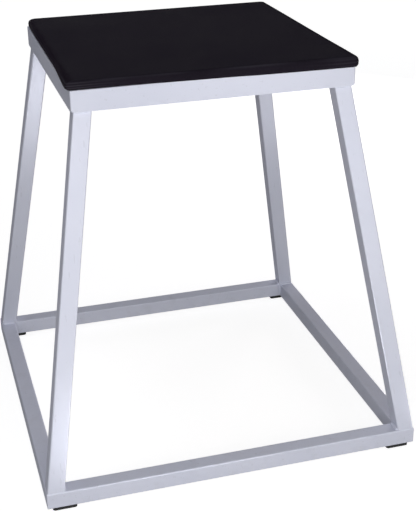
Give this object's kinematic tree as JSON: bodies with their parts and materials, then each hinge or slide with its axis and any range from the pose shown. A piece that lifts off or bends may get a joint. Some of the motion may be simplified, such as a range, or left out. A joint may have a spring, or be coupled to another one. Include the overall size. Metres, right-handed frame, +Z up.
{
  "type": "plyo box",
  "caption": "Free-standing steel plyo box: splayed square-tube legs on a floor ring with rubber feet carry a thin square deck with a black non-slip cover.",
  "frame": {"origin": "on the floor, under the middle of the deck", "axes": "+X along the front to the right, +Y from front to rear, +Z up"},
  "size_m": [0.578, 0.578, 0.61],
  "materials": {
    "frame_paint": "satin cool-white powder coat",
    "deck_cover": "matte black sheet with a fine grain",
    "plywood": "raw plywood",
    "foot_rubber": "moulded black rubber",
    "zinc": "zinc plated"
  },
  "bodies": {
    "root": {"base_front_rail": "frame_paint", "base_right_rail": "frame_paint", "base_rear_rail": "frame_paint", "base_left_rail": "frame_paint", "leg_front_left": "frame_paint", "leg_front_right": "frame_paint", "leg_rear_right": "frame_paint", "leg_rear_left": "frame_paint", "top_front_rail": "frame_paint", "top_right_rail": "frame_paint", "top_rear_rail": "frame_paint", "top_left_rail": "frame_paint", "leg_base_welds": "frame_paint", "leg_top_welds": "frame_paint", "leg_flange_welds": "frame_paint", "base_corner_welds": "frame_paint", "foot_front_left": "foot_rubber", "foot_front_right": "foot_rubber", "foot_rear_right": "foot_rubber", "foot_rear_left": "foot_rubber", "deck_screws": "zinc", "deck_washers": "zinc", "cover_staples": "zinc", "foot_screws": "zinc", "foot_washers": "zinc", "deck_board": "plywood", "deck_cover": "deck_cover"}
  },
  "joints": []
}
